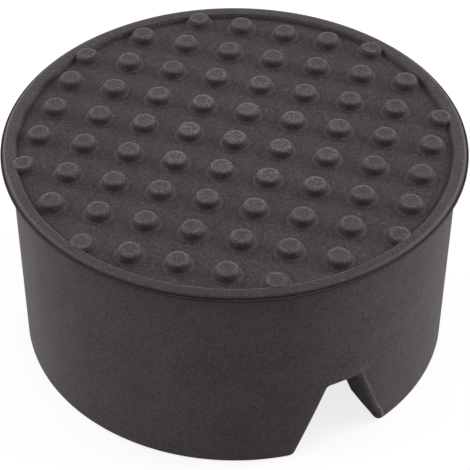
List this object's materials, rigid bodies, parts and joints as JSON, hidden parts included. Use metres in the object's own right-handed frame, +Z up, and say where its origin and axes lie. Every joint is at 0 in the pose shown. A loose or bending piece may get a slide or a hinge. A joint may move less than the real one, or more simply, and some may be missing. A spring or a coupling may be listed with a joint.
{
  "type": "rubber jack pad",
  "caption": "Round one-piece rubber jack pad with a studded deck, a raised ring and thin lip, a saddle pocket underneath and a tapered notch in the skirt.",
  "frame": {"origin": "centre of the base plane, on the pad's axis", "axes": "+Z up along the pad's axis, from the base to the studded deck; the notch in the skirt faces -Y"},
  "size_m": [0.12, 0.12, 0.0609],
  "materials": {
    "rubber": "matt moulded rubber, dark warm grey, lightly dusty"
  },
  "bodies": {
    "root": {"jack_pad": "rubber"}
  },
  "joints": []
}
